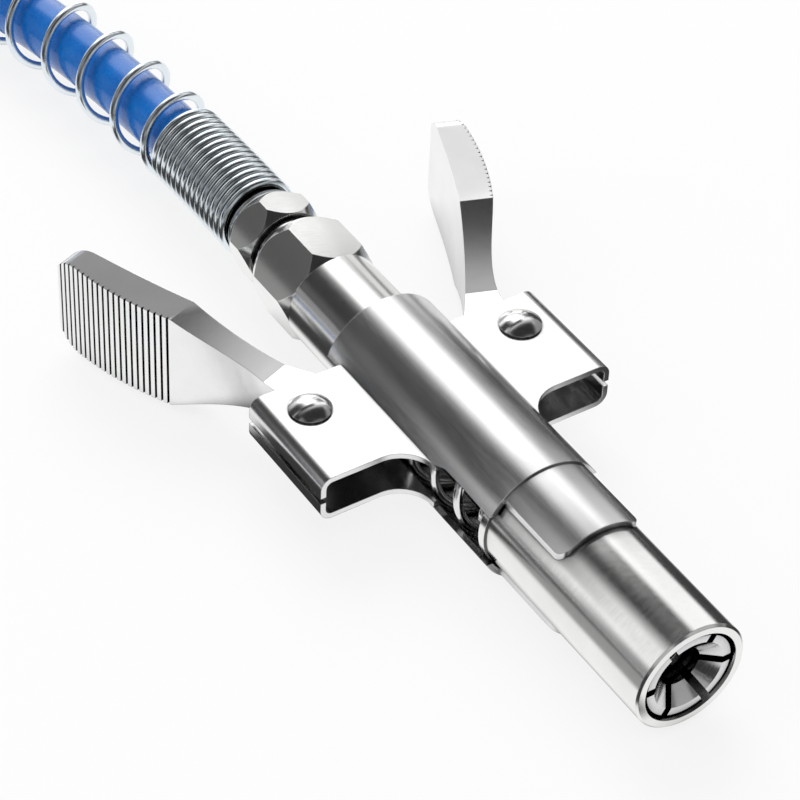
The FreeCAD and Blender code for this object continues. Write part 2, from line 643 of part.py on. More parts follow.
def jaw_ring():
    """Split ring of flat spring wire that holds the jaw heels in their groove."""
    middle = 0.5 * (HINGE_GROOVE_FRONT + HINGE_GROOVE_REAR)
    inner = JAW_SHANK_RADIUS - JAW_RING_WIRE + RUNNING_GAP
    half = 0.5 * JAW_RING_WIRE
    section = outline([(inner, middle - half), (inner + JAW_RING_WIRE, middle - half),
                       (inner + JAW_RING_WIRE, middle + half), (inner, middle + half)])
    section.rotate(Vector(0, 0, 0), Y_AXIS, JAW_RING_OPENING / 2)
    return section.revolve(Vector(0, 0, 0), Y_AXIS, 360 - JAW_RING_OPENING)


def main_spring():
    front = SLEEVE_LENGTH + REST_GAP + SPRING_WIRE_RADIUS
    rear = FLANGE_FRONT - REST_GAP - SPRING_WIRE_RADIUS
    return coil(SPRING_RADIUS, SPRING_WIRE_RADIUS, front, rear, SPRING_TURNS, SPRING_START_ANGLE)


def hose_adapter():
    """Threaded neck, small hexagon and barb that join the hose to the core."""
    front = BIG_HEX_REAR - SOCKET_DEPTH + REST_GAP
    neck_front = BIG_HEX_REAR + REST_GAP
    span = SMALL_HEX_FRONT - neck_front
    pitch = span / (ADAPTER_RING_COUNT + 0.5)
    profile = [(0, front), (SOCKET_RADIUS - REST_GAP, front), (SOCKET_RADIUS - REST_GAP, neck_front)]
    root = ADAPTER_NECK_RADIUS - ADAPTER_RING_DEPTH
    for count in range(ADAPTER_RING_COUNT):
        middle = neck_front + pitch * (count + 0.75)
        profile += [(root, middle - 0.5 * pitch), (ADAPTER_NECK_RADIUS, middle - 0.2 * pitch),
                    (ADAPTER_NECK_RADIUS, middle + 0.2 * pitch)]
    profile += [(root, SMALL_HEX_FRONT + HEX_OVERLAP), (0, SMALL_HEX_FRONT + HEX_OVERLAP)]
    body = turned(profile)
    body = body.fuse(hexagon(SMALL_HEX_FLATS, SMALL_HEX_FRONT, SMALL_HEX_REAR, HEX_TURN))
    tail = turned([
        (0, SMALL_HEX_REAR - HEX_OVERLAP), (ADAPTER_COLLAR_FRONT_RADIUS, SMALL_HEX_REAR - HEX_OVERLAP),
        (ADAPTER_COLLAR_FRONT_RADIUS, SMALL_HEX_REAR), (ADAPTER_COLLAR_REAR_RADIUS, ADAPTER_COLLAR_REAR),
        (BARB_RADIUS, ADAPTER_COLLAR_REAR), (BARB_RADIUS, BARB_REAR), (0, BARB_REAR),
    ])
    body = body.fuse(tail)
    bore = rod(GREASE_BORE_RADIUS, front - 1, BARB_REAR + 1)
    return body.cut(bore).removeSplitter()


def hose_ferrule():
    tube = rod(FERRULE_RADIUS, FERRULE_FRONT, FERRULE_REAR)
    tube = tube.cut(rod(BARB_RADIUS + REST_GAP, FERRULE_FRONT - 1, FERRULE_REAR))
    return tube.cut(rod(FERRULE_BORE, HOSE_FRONT - 0.1, FERRULE_REAR + 1))


def route_wire(points):
    """Straight runs joined by arcs that touch both runs, for the route of a hose."""
    spots = [Vector(x, y, z - AXIS_HEIGHT) for x, y, z in points]
    edges = []
    last = spots[0]
    for before, spot, after in zip(spots, spots[1:], spots[2:]):
        into = (spot - before).normalize()
        out = (after - spot).normalize()
        reach = 0.45 * min((spot - before).Length, (after - spot).Length)
        half_turn = 0.5 * into.getAngle(out)
        bend = reach / math.tan(half_turn)
        start = spot - into * reach
        end = spot + out * reach
        centre_way = (out - into).normalize()
        centre = spot + centre_way * (bend / math.cos(half_turn))
        middle = centre - centre_way * bend
        edges.append(Part.makeLine(last, start))
        edges.append(Part.Arc(start, middle, end).toShape())
        last = end
    edges.append(Part.makeLine(last, spots[-1]))
    return Part.Wire(edges)


def hose_wire():
    return route_wire([(0.0, HOSE_FRONT, AXIS_HEIGHT)] + HOSE_ROUTE[1:])


def hose():
    """Tube of many flat sides along the route, which starts along the axis."""
    corners = []
    for side in range(HOSE_SIDES + 1):
        around = 2 * math.pi * side / HOSE_SIDES
        corners.append(Vector(HOSE_RADIUS * math.cos(around), HOSE_FRONT, HOSE_RADIUS * math.sin(around)))
    return hose_wire().makePipeShell([Part.makePolygon(corners)], True, True)


def along_wire(wire, distance):
    """Place and direction at a distance along a wire."""
    for edge in wire.Edges:
        if distance <= edge.Length or edge.isSame(wire.Edges[-1]):
            spot = edge.getParameterByLength(distance)
            return edge.valueAt(spot), edge.tangentAt(spot)
        distance -= edge.Length


def guard_coil():
    """Open turns round the hose, lofted through flat-sided sections that follow its route."""
    wire = hose_wire()
    close_radius = (FERRULE_RADIUS + REST_GAP + GUARD_WIRE_RADIUS) / math.cos(math.pi / GUARD_COIL_STEPS)
    close_pitch = 2 * GUARD_WIRE_RADIUS
    place = GUARD_DEAD_REAR - GUARD_OVERLAP - HOSE_FRONT
    sections = []
    for step in range(GUARD_OPEN_TURNS * GUARD_COIL_STEPS + 1):
        turn = step / GUARD_COIL_STEPS
        opening = min(1.0, turn / GUARD_LEAD_TURNS)
        radius = close_radius + (GUARD_OPEN_RADIUS - close_radius) * opening
        spot, way = along_wire(wire, place)
        side = way.cross(Z_AXIS).normalize()
        up = side.cross(way)
        angle = 2 * math.pi * turn
        out = up * math.cos(angle) + side * math.sin(angle)
        corners = []
        for flat in range(WIRE_SIDES + 1):
            around = 2 * math.pi * flat / WIRE_SIDES
            away = out * math.cos(around) + way * math.sin(around)
            corners.append(spot + out * radius + away * GUARD_WIRE_RADIUS)
        sections.append(Part.makePolygon(corners))
        place += (close_pitch + (GUARD_OPEN_PITCH - close_pitch) * opening) / GUARD_COIL_STEPS
    return Part.makeLoft(sections, True, True)


def guard_spring():
    """Close turns that grip the ferrule, as a plain sleeve, then the open turns on the hose."""
    bore = FERRULE_RADIUS + REST_GAP
    dead = rod(bore + 2 * GUARD_WIRE_RADIUS, GUARD_FRONT, GUARD_DEAD_REAR)
    dead = dead.cut(rod(bore, GUARD_FRONT, GUARD_DEAD_REAR))
    return dead.fuse(guard_coil())


def at_far_end(shape):
    """Move a piece made along Y to the far end of the hose, pointing away from it."""
    before = Vector(*HOSE_ROUTE[-2])
    last = Vector(*HOSE_ROUTE[-1])
    way = (last - before).normalize()
    turn = FreeCAD.Rotation(Y_AXIS, way)
    moved = shape.copy()
    moved.Placement = FreeCAD.Placement(last - Vector(0, 0, AXIS_HEIGHT), turn).multiply(moved.Placement)
    return moved


def far_ferrule():
    front = FAR_FERRULE_BEYOND_HOSE - FAR_FERRULE_LENGTH
    body = rod(FAR_FERRULE_RADIUS, front, FAR_FERRULE_BEYOND_HOSE)
    body = body.cut(rod(FERRULE_BORE, front, REST_GAP))
    return at_far_end(body.cut(rod(FAR_SPIGOT_RADIUS, 0, FAR_FERRULE_BEYOND_HOSE)))


def far_fitting():
    front = FAR_FERRULE_BEYOND_HOSE + REST_GAP
    rear = front + FAR_HEX_LENGTH
    tip = rear + FAR_THREAD_LENGTH
    body = hexagon(FAR_HEX_FLATS, front, rear, 30.0)
    thread = turned([
        (0, rear - HEX_OVERLAP), (FAR_THREAD_RADIUS, rear - HEX_OVERLAP),
        (FAR_THREAD_RADIUS, tip - FAR_THREAD_CHAMFER),
        (FAR_THREAD_RADIUS - FAR_THREAD_CHAMFER, tip), (0, tip),
    ])
    spigot = rod(FAR_SPIGOT_RADIUS - REST_GAP, 2 * REST_GAP, front + HEX_OVERLAP)
    body = body.fuse([thread, spigot]).cut(rod(GREASE_BORE_RADIUS, 0, tip))
    return at_far_end(body.removeSplitter())


def build():
    upper = shell()
    save("upper_shell", upper)
    save("lower_shell", upper.mirror(Vector(0, 0, 0), Z_AXIS))
    save("nozzle_sleeve", sleeve())
    save("main_spring", main_spring())
    right = lever()
    save("lever_right", right)
    save("lever_left", right.mirror(Vector(0, 0, 0), Vector(1, 0, 0)))
    for side, name in ((-1, "rivet_left"), (1, "rivet_right")):
        save(name, rivet(side))
    save("core_body", core_body())
    save("seal_cup", seal_cup())
    save("seal_ring", seal_ring())
    save("check_ball", check_ball())
    save("check_spring", check_spring())
    for number, jaw in enumerate(jaws(), 1):
        save("jaw_" + str(number), jaw)
    save("jaw_ring", jaw_ring())
    save("hose_adapter", hose_adapter())
    save("hose_ferrule", hose_ferrule())
    save("hose", hose())
    save("guard_spring", guard_spring())
    save("far_ferrule", far_ferrule())
    save("far_fitting", far_fitting())


build()
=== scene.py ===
import json
import math

import bmesh
import bpy
from mathutils import Matrix, Vector

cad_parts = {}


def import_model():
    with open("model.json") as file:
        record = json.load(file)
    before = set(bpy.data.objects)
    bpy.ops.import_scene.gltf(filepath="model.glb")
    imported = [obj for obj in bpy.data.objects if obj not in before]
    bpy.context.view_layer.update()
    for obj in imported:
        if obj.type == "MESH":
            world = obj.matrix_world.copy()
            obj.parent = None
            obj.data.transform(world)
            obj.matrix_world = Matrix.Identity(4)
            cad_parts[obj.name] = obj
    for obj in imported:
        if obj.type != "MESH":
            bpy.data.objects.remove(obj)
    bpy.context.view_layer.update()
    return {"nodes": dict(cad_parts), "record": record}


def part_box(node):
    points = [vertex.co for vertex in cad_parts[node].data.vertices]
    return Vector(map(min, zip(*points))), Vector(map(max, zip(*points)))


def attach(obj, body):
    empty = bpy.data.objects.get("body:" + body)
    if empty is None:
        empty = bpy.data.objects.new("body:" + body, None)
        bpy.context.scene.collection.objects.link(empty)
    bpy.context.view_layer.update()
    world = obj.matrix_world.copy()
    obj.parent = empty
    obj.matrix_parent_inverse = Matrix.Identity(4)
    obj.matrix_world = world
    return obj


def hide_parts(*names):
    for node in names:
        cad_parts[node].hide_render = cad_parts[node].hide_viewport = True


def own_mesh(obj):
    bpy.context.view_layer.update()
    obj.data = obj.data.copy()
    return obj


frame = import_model()

# Metres throughout. The bore lies along Y and the nozzle points to -Y.
AXIS_HEIGHT = 0.0091

# Camera, worked out from the photograph
CAMERA_AZIMUTH = -34.57
CAMERA_ELEVATION = 42.15
CAMERA_ROLL = 2.73
CAMERA_DISTANCE = 0.4054
CAMERA_TARGET = (-0.00386, -0.00211, 0.01001)
CAMERA_LENS = 139.9
CAMERA_NEAR_LIMIT = 0.01
SENSOR_WIDTH = 36.0

# Hose: its route as in the part's source and its diameter
HOSE_DIAMETER = 0.0087
HOSE_ROUTE = [
    (0.0, 0.04344, 0.0091),
    (0.0, 0.07744, 0.0091),
    (-0.0086, 0.12304, 0.0074),
    (-0.0365, 0.15344, 0.0059),
    (-0.0795, 0.15694, 0.0044),
    (-0.1150, 0.13244, 0.0044),
    (-0.1300, 0.09194, 0.0056),
    (-0.1335, 0.05194, 0.0060),
]

# Guard spring: close turns on the ferrule, then open turns round the hose
GUARD_WIRE = 0.0013
GUARD_WIRE_SIDES = 14
GUARD_STEPS_PER_TURN = 40
GUARD_CLOSE_TURNS = 14.7
GUARD_CLOSE_PITCH = 0.00132
GUARD_OPEN_TURNS = 7
GUARD_LEAD_TURNS = 1.4
GUARD_OPEN_PITCH = 0.0092
GUARD_CLOSE_RADIUS = 0.00555
GUARD_OPEN_RADIUS = 0.00595

# Main spring, with the angle where its wire starts
MAIN_SPRING_WIRE = 0.0013
MAIN_SPRING_TURNS = 4.0
MAIN_SPRING_START = -80.0
MAIN_SPRING_STEPS_PER_TURN = 48

# Rivet heads, and how finely a turned piece is drawn
RIVET_HEAD_HEIGHT = 0.0014
RIVET_RIM_HEIGHT = 0.0003
RIVET_SHANK_RADIUS = 0.0015
DOME_STEPS = 12
TURNED_SIDES = 48
SHARP_CORNER = math.radians(30)

# The part of a noise pattern's range that runs from one end of a value to the other
PATTERN_LOW = 0.3
PATTERN_HIGH = 0.7

# Steel: its faint patches in cells per metre, how dark and light they go, how far the grain changes
# the roughness, and the grain's depth
PATCH_STRETCH = (160.0, 160.0, 160.0)
PATCH_DARK = 0.96
PATCH_LIGHT = 1.03
ROUGHNESS_SPREAD = 0.03
GRAIN_DEPTH = 0.00001

# Floor: half its width, its paint, how far the contact shadow reaches and the white's share of its look
FLOOR_HALF_WIDTH = 3.0
FLOOR_PAINT = (0.9, 0.9, 0.9, 1.0)
CONTACT_SHADOW_REACH = 0.004
FLOOR_WHITE_SHARE = 0.82

# World: the plain grey that lights the part and that metal mirrors, and the white that the camera sees
WORLD_GREY = (0.5, 0.5, 0.5, 1.0)
WORLD_WHITE = (1.0, 1.0, 1.0, 1.0)

# Lamps: azimuth, elevation, distance, width, height and power
LAMPS = [
    ("key", 158.0, 47.0, 1.2, 0.85, 0.75, 8.0),
    ("left", -110.0, 30.0, 1.2, 0.5, 1.2, 3.0),
    ("front", -30.0, 65.0, 1.4, 0.6, 0.6, 2.0),
]


def srgb(red, green, blue):
    """Linear colour from the values seen on a screen."""
    linear = [c / 12.92 if c <= 0.04045 else ((c + 0.055) / 1.055) ** 2.4 for c in (red, green, blue)]
    return (*linear, 1.0)


class Shader:
    """Short way to write a node material."""

    def __init__(self, name):
        self.material = bpy.data.materials.new(name)
        self.material.use_nodes = True
        self.tree = self.material.node_tree
        self.surface = self.tree.nodes["Principled BSDF"]

    def node(self, kind, **settings):
        node = self.tree.nodes.new(kind)
        for key, value in settings.items():
            if key in node.inputs:
                node.inputs[key].default_value = value
            else:
                setattr(node, key, value)
        return node

    def link(self, source, target):
        self.tree.links.new(source, target)

    def set(self, **values):
        for key, value in values.items():
            self.surface.inputs[key.replace("_", " ")].default_value = value

    def coordinates(self, stretch):
        """Object coordinates, stretched to the given number of cells per metre along each axis."""
        where = self.node("ShaderNodeTexCoord")
        scale = self.node("ShaderNodeMapping")
        scale.inputs["Scale"].default_value = stretch
        self.link(where.outputs["Object"], scale.inputs["Vector"])
        return scale.outputs["Vector"]

    def noise(self, stretch, detail=3.0, roughness=0.55):
        """Cloudy pattern with the given number of cells per metre along each axis."""
        noise = self.node("ShaderNodeTexNoise")
        noise.inputs["Scale"].default_value = 1.0
        noise.inputs["Detail"].default_value = detail
        noise.inputs["Roughness"].default_value = roughness
        self.link(self.coordinates(stretch), noise.inputs["Vector"])
        return noise.outputs["Fac"]

    def ramp(self, source, low, high):
        """Stretch a pattern between two values."""
        span = self.node("ShaderNodeMapRange")
        span.inputs["From Min"].default_value = PATTERN_LOW
        span.inputs["From Max"].default_value = PATTERN_HIGH
        span.inputs["To Min"].default_value = low
        span.inputs["To Max"].default_value = high
        self.link(source, span.inputs["Value"])
        return span.outputs["Result"]

    def colours(self, source, dark, light):
        """Turn a pattern into colours between two ends."""
        ramp = self.node("ShaderNodeValToRGB")
        ramp.color_ramp.elements[0].position = PATTERN_LOW
        ramp.color_ramp.elements[0].color = dark
        ramp.color_ramp.elements[1].position = PATTERN_HIGH
        ramp.color_ramp.elements[1].color = light
        self.link(source, ramp.inputs["Fac"])
        return ramp.outputs["Color"]

    def relief(self, source, strength, depth, rounding=0.0):
        """Bump from a pattern, over edges rounded by the given radius."""
        bump = self.node("ShaderNodeBump")
        bump.inputs["Strength"].default_value = strength
        bump.inputs["Distance"].default_value = depth
        self.link(source, bump.inputs["Height"])
        if rounding:
            bevel = self.node("ShaderNodeBevel", samples=4)
            bevel.inputs["Radius"].default_value = rounding
            self.link(bevel.outputs["Normal"], bump.inputs["Normal"])
        self.link(bump.outputs["Normal"], self.surface.inputs["Normal"])


def steel(name, colour, roughness, grain, grain_strength, rounding, crevice_shade_reach, darkening=1.5):
    """Bare metal: faint grain, slightly uneven gloss, softly rounded edges and painted shade that darkens
    the colour in crevices.
    """
    shader = Shader(name)
    shader.set(Metallic=1.0)
    patch = shader.noise(PATCH_STRETCH, detail=4.0)
    light = tuple(min(1.0, c * PATCH_LIGHT) for c in colour[:3]) + (1.0,)
    dark = tuple(c * PATCH_DARK for c in colour[:3]) + (1.0,)
    # Painted shade: ambient occlusion darkens the base colour in crevices, grooves and close gaps between
    # parts.
    painted_crevice_shade = shader.node("ShaderNodeAmbientOcclusion", samples=8, Distance=crevice_shade_reach)
    shade = shader.node("ShaderNodeMath", operation="POWER")
    shade.inputs[1].default_value = darkening
    shader.link(painted_crevice_shade.outputs["AO"], shade.inputs[0])
    shaded = shader.node("ShaderNodeVectorMath", operation="SCALE")
    shader.link(shader.colours(patch, dark, light), shaded.inputs["Vector"])
    shader.link(shade.outputs[0], shaded.inputs["Scale"])
    shader.link(shaded.outputs["Vector"], shader.surface.inputs["Base Color"])
    streak = shader.noise(grain, detail=2.0, roughness=0.6)
    low, high = roughness - ROUGHNESS_SPREAD, roughness + ROUGHNESS_SPREAD
    shader.link(shader.ramp(streak, low, high), shader.surface.inputs["Roughness"])
    shader.relief(streak, grain_strength, GRAIN_DEPTH, rounding)
    return shader.material


def satin_steel():
    """The shells: fine lengthwise grain."""
    return steel("satin_steel", srgb(0.9, 0.9, 0.9), roughness=0.24, grain=(5000.0, 200.0, 5000.0),
                 grain_strength=0.004, rounding=0.00016, crevice_shade_reach=0.0012)


def lever_steel():
    """The levers: brighter, with painted shade darkening the grooves between the ribs."""
    return steel("lever_steel", srgb(0.94, 0.94, 0.94), roughness=0.2, grain=(5200.0, 5200.0, 5200.0),
                 grain_strength=0.01, rounding=0.00012, crevice_shade_reach=0.001, darkening=4.0)


def polished_steel():
    """Turned pieces: faint rings and a mirror gloss."""
    return steel("polished_steel", srgb(0.92, 0.92, 0.915), roughness=0.16, grain=(700.0, 9000.0, 700.0),
                 grain_strength=0.01, rounding=0.00012, crevice_shade_reach=0.002, darkening=2.5)


def jaw_steel():
    """The jaws: painted shade darkens them where they stand close together."""
    return steel("jaw_steel", srgb(0.86, 0.86, 0.865), roughness=0.16, grain=(900.0, 8000.0, 900.0),
                 grain_strength=0.01, rounding=0.00006, crevice_shade_reach=0.004, darkening=5.0)


def spring_wire():
    """Drawn wire of the springs inside."""
    return steel("spring_wire", srgb(0.9, 0.9, 0.9), roughness=0.16, grain=(3000.0, 3000.0, 3000.0),
                 grain_strength=0.04, rounding=0.0, crevice_shade_reach=0.001)


def zinc_wire():
    """Faintly blue plated wire of the guard spring."""
    return steel("zinc_wire", srgb(0.90, 0.93, 0.95), roughness=0.2, grain=(2600.0, 2600.0, 2600.0),
                 grain_strength=0.015, rounding=0.0, crevice_shade_reach=0.0004, darkening=1.0)


def blue_hose():
    """Smooth extruded plastic with a faintly cloudy colour, a fine grain and a clear gloss."""
    shader = Shader("blue_hose")
    cloud = shader.noise((220.0, 220.0, 220.0))
    shader.link(shader.colours(cloud, srgb(0.0, 0.37, 0.70), srgb(0.0, 0.43, 0.77)),
                shader.surface.inputs["Base Color"])
    fine = shader.noise((1500.0, 1500.0, 1500.0))
    shader.link(shader.ramp(fine, low=0.22, high=0.34), shader.surface.inputs["Roughness"])
    shader.set(Coat_Weight=0.3, Coat_Roughness=0.12, IOR=1.5)
    shader.relief(fine, strength=0.12, depth=0.00003)
    return shader.material


def seal_rubber():
    """Dull black rubber with a fine grain."""
    shader = Shader("seal_rubber")
    grain = shader.noise((2500.0, 2500.0, 2500.0))
    shader.link(shader.colours(grain, srgb(0.06, 0.06, 0.06), srgb(0.12, 0.12, 0.12)),
                shader.surface.inputs["Base Color"])
    shader.link(shader.ramp(grain, low=0.5, high=0.7), shader.surface.inputs["Roughness"])
    shader.relief(grain, strength=0.2, depth=0.00003)
    return shader.material


MATERIALS = {
    "satin_steel": satin_steel(),
    "lever_steel": lever_steel(),
    "polished_steel": polished_steel(),
    "jaw_steel": jaw_steel(),
    "spring_wire": spring_wire(),
    "zinc_wire": zinc_wire(),
    "blue_hose": blue_hose(),
    "seal_rubber": seal_rubber(),
}


def dress_nodes():
    """Give each CAD node the material that its slot in the record names."""
    for part in frame["record"]["subparts"]:
        piece = frame["nodes"][part["node"]]
        material = MATERIALS[part["material_slot"]]
        if piece.material_slots:
            for slot in piece.material_slots:
                slot.material = material
        else:
            piece.data.materials.append(material)


def add_piece(name, data, body, slot):
    """New object with the slot's material, riding on a body."""
    piece = bpy.data.objects.new(name, data)
    bpy.context.scene.collection.objects.link(piece)
    data.materials.append(MATERIALS[slot])
    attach(piece, body)
    return piece


def tube(name, points, radius, sides=16):
    """Smooth closed mesh tube along a list of points."""
    mesh = bmesh.new()
    rings = []
    across = None
    for index, point in enumerate(points):
        before = points[max(index - 1, 0)]
        after = points[min(index + 1, len(points) - 1)]
        along = (after - before).normalized()
        if across is None:
            across = along.orthogonal().normalized()
        across = (across - along * across.dot(along)).normalized()
        other = along.cross(across)
        ring = []
        for side in range(sides):
            angle = 2 * math.pi * side / sides
            outward = across * math.cos(angle) + other * math.sin(angle)
            ring.append(mesh.verts.new(point + outward * radius))
        rings.append(ring)
    for one, two in zip(rings, rings[1:]):
        for side in range(sides):
            face = mesh.faces.new((one[side], one[(side + 1) % sides], two[(side + 1) % sides], two[side]))
            face.smooth = True
    mesh.faces.new(list(reversed(rings[0])))
    mesh.faces.new(rings[-1])
    mesh.normal_update()
    data = bpy.data.meshes.new(name)
    mesh.to_mesh(data)
    mesh.free()
    return data


def hose_curve(bevel):
    """Smooth curve that follows the hose's route, with the bevel as its radius."""
    curve = bpy.data.curves.new("hose_line", "CURVE")
    curve.dimensions = "3D"
    spline = curve.splines.new("NURBS")
    spline.points.add(len(HOSE_ROUTE) - 1)
    for spot, place in zip(spline.points, HOSE_ROUTE):
        spot.co = (*place, 1.0)
    spline.order_u = 3
    spline.use_endpoint_u = True
    spline.resolution_u = 24
    curve.bevel_depth = bevel
    curve.bevel_resolution = 8
    curve.use_fill_caps = True
    return curve


def hose_line():
    """Points along the hose's own spline."""
    holder = bpy.data.objects.new("hose_points", hose_curve(0.0))
    mesh = bpy.data.meshes.new_from_object(holder)
    points = [vertex.co.copy() for vertex in mesh.vertices]
    bpy.data.objects.remove(holder)
    bpy.data.meshes.remove(mesh)
    return points


class Line:
    """A line through points, read by the distance along it."""

    HALF_STEP = 0.0005

    def __init__(self, points):
        self.points = points
        self.places = [0.0]
        for one, two in zip(points, points[1:]):
            self.places.append(self.places[-1] + (two - one).length)

    def at(self, distance):
        """The point at a distance from the line's start."""
        index = 1
        while index < len(self.places) - 1 and self.places[index] < distance:
            index += 1
        start, stop = self.places[index - 1], self.places[index]
        share = (distance - start) / (stop - start)
        return self.points[index - 1].lerp(self.points[index], share)

    def around(self, distance, radius, angle):
        """A point beside the line, turned about it from straight up."""
        along = (self.at(distance + self.HALF_STEP) - self.at(distance - self.HALF_STEP)).normalized()
        side = along.cross(Vector((0, 0, 1))).normalized()
        up = side.cross(along)
        return self.at(distance) + (up * math.cos(angle) + side * math.sin(angle)) * radius


def guard_spring(line):
    """Spring wire: close turns on the ferrule, opening into wide turns round the hose."""
    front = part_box("guard_spring")[0][1]
    place = front - HOSE_ROUTE[0][1] + GUARD_WIRE / 2
    points = []
    for step in range(round((GUARD_CLOSE_TURNS + GUARD_OPEN_TURNS) * GUARD_STEPS_PER_TURN) + 1):
        turn = step / GUARD_STEPS_PER_TURN - GUARD_CLOSE_TURNS
        opening = max(0.0, min(1.0, turn / GUARD_LEAD_TURNS))
        radius = GUARD_CLOSE_RADIUS + (GUARD_OPEN_RADIUS - GUARD_CLOSE_RADIUS) * opening
        points.append(line.around(place, radius, 2 * math.pi * turn))
        pitch = GUARD_CLOSE_PITCH + (GUARD_OPEN_PITCH - GUARD_CLOSE_PITCH) * opening
        place += pitch / GUARD_STEPS_PER_TURN
    wire = tube("guard_spring_wire", points, GUARD_WIRE / 2, GUARD_WIRE_SIDES)
    piece = add_piece("guard_spring_wire", wire, "core", "zinc_wire")
    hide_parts("guard_spring")
    return piece


def hose(line):
    """The hose as a cord, with its guard spring."""
    curve = hose_curve(HOSE_DIAMETER / 2)
    piece = add_piece("hose_tube", curve, "core", "blue_hose")
    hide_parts("hose")
    guard = guard_spring(line)


def main_spring():
    """Round-wire helix between the sleeve and the core's flange."""
    low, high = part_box("main_spring")
    radius = (high[0] - low[0]) / 2 - MAIN_SPRING_WIRE / 2
    front = low[1] + MAIN_SPRING_WIRE / 2
    rear = high[1] - MAIN_SPRING_WIRE / 2
    steps = int(MAIN_SPRING_TURNS * MAIN_SPRING_STEPS_PER_TURN)
    points = []
    for step in range(steps + 1):
        angle = math.radians(MAIN_SPRING_START) + 2 * math.pi * MAIN_SPRING_TURNS * step / steps
        y = front + (rear - front) * step / steps
        points.append(Vector((radius * math.sin(angle), y, AXIS_HEIGHT + radius * math.cos(angle))))
    wire = tube("main_spring_wire", points, MAIN_SPRING_WIRE / 2)
    piece = add_piece("main_spring_wire", wire, "core", "spring_wire")
    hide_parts("main_spring")
    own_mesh(piece)


def lathe(name, profile, place):
    """Solid turned about an upright line from (radius, height) pairs, smooth except at its corners."""
    mesh = bmesh.new()
    rings = []
    for radius, height in profile:
        if radius == 0:
            rings.append([mesh.verts.new(place + Vector((0, 0, height)))])
            continue
        ring = []
        for side in range(TURNED_SIDES):
            angle = 2 * math.pi * side / TURNED_SIDES
            spot = Vector((radius * math.cos(angle), radius * math.sin(angle), height))
            ring.append(mesh.verts.new(place + spot))
        rings.append(ring)
    for one, two in zip(rings, rings[1:]):
        for side in range(TURNED_SIDES):
            after = (side + 1) % TURNED_SIDES
            corners = [one[side % len(one)], one[after % len(one)]]
            corners += [two[after % len(two)], two[side % len(two)]]
            mesh.faces.new(list(dict.fromkeys(corners))).smooth = True
    mesh.normal_update()
    for edge in mesh.edges:
        if edge.calc_face_angle(0.0) > SHARP_CORNER:
            edge.smooth = False
    data = bpy.data.meshes.new(name)
    mesh.to_mesh(data)
    mesh.free()
    return data


def rivet(side):
    """Pivot pin with a smooth domed head on each end, in place of the node's coarser dome."""
    low, high = (Vector(corner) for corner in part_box(f"rivet_{side}"))
    middle = (low + high) / 2
    half_length = (high[2] - low[2]) / 2
    radius = (high[0] - low[0]) / 2
    rise = RIVET_HEAD_HEIGHT - RIVET_RIM_HEIGHT
    dome = (rise ** 2 + radius ** 2) / (2 * rise)
    sweep = math.asin(radius / dome)
    ear = half_length - RIVET_HEAD_HEIGHT
    head = [(RIVET_SHANK_RADIUS, ear), (radius, ear)]
    for step in range(DOME_STEPS):
        angle = sweep * (1 - step / DOME_STEPS)
        head.append((dome * math.sin(angle), half_length - dome * (1 - math.cos(angle))))
    head.append((0, half_length))
    profile = [(across, -height) for across, height in reversed(head)] + head
    name = f"rivet_{side}_domed"
    piece = add_piece(name, lathe(name, profile, middle), "shell", "polished_steel")
    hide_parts(f"rivet_{side}")


def floor():
    """Pale floor, mostly plain white to the view, which metal mirrors with a painted shadow, darker close
    to the part.
    """
    mesh = bmesh.new()
    bmesh.ops.create_grid(mesh, x_segments=1, y_segments=1, size=FLOOR_HALF_WIDTH)
    data = bpy.data.meshes.new("floor")
    mesh.to_mesh(data)
    mesh.free()
    piece = bpy.data.objects.new("floor", data)
    bpy.context.scene.collection.objects.link(piece)
    material = bpy.data.materials.new("floor_white")
    material.use_nodes = True
    tree = material.node_tree
    nodes = tree.nodes
    nodes.remove(nodes["Principled BSDF"])
    diffuse = nodes.new("ShaderNodeBsdfDiffuse")
    diffuse.inputs["Color"].default_value = FLOOR_PAINT
    glow = nodes.new("ShaderNodeEmission")
    # Painted shadow: ambient occlusion dims the floor's glow close to the part, seen only in metal's
    # reflections.
    painted_contact_shadow = nodes.new("ShaderNodeAmbientOcclusion")
    painted_contact_shadow.inputs["Distance"].default_value = CONTACT_SHADOW_REACH
    shaded = nodes.new("ShaderNodeMath")
    shaded.operation = "MAXIMUM"
    tree.links.new(painted_contact_shadow.outputs["AO"], shaded.inputs[0])
    tree.links.new(shaded.outputs[0], glow.inputs["Strength"])
    rays = nodes.new("ShaderNodeLightPath")
    mirrored = nodes.new("ShaderNodeMath")
    mirrored.operation = "MAXIMUM"
    tree.links.new(rays.outputs["Is Glossy Ray"], mirrored.inputs[0])
    tree.links.new(rays.outputs["Is Transmission Ray"], mirrored.inputs[1])
    tree.links.new(rays.outputs["Is Camera Ray"], shaded.inputs[1])
    seen = nodes.new("ShaderNodeMath")
    seen.operation = "MULTIPLY"
    seen.inputs[1].default_value = FLOOR_WHITE_SHARE
    tree.links.new(rays.outputs["Is Camera Ray"], seen.inputs[0])
    share = nodes.new("ShaderNodeMath")
    share.operation = "MAXIMUM"
    tree.links.new(seen.outputs[0], share.inputs[0])
    tree.links.new(mirrored.outputs[0], share.inputs[1])
    mix = nodes.new("ShaderNodeMixShader")
    tree.links.new(share.outputs[0], mix.inputs["Fac"])
    tree.links.new(diffuse.outputs[0], mix.inputs[1])
    tree.links.new(glow.outputs[0], mix.inputs[2])
    tree.links.new(mix.outputs[0], nodes["Material Output"].inputs["Surface"])
    data.materials.append(material)


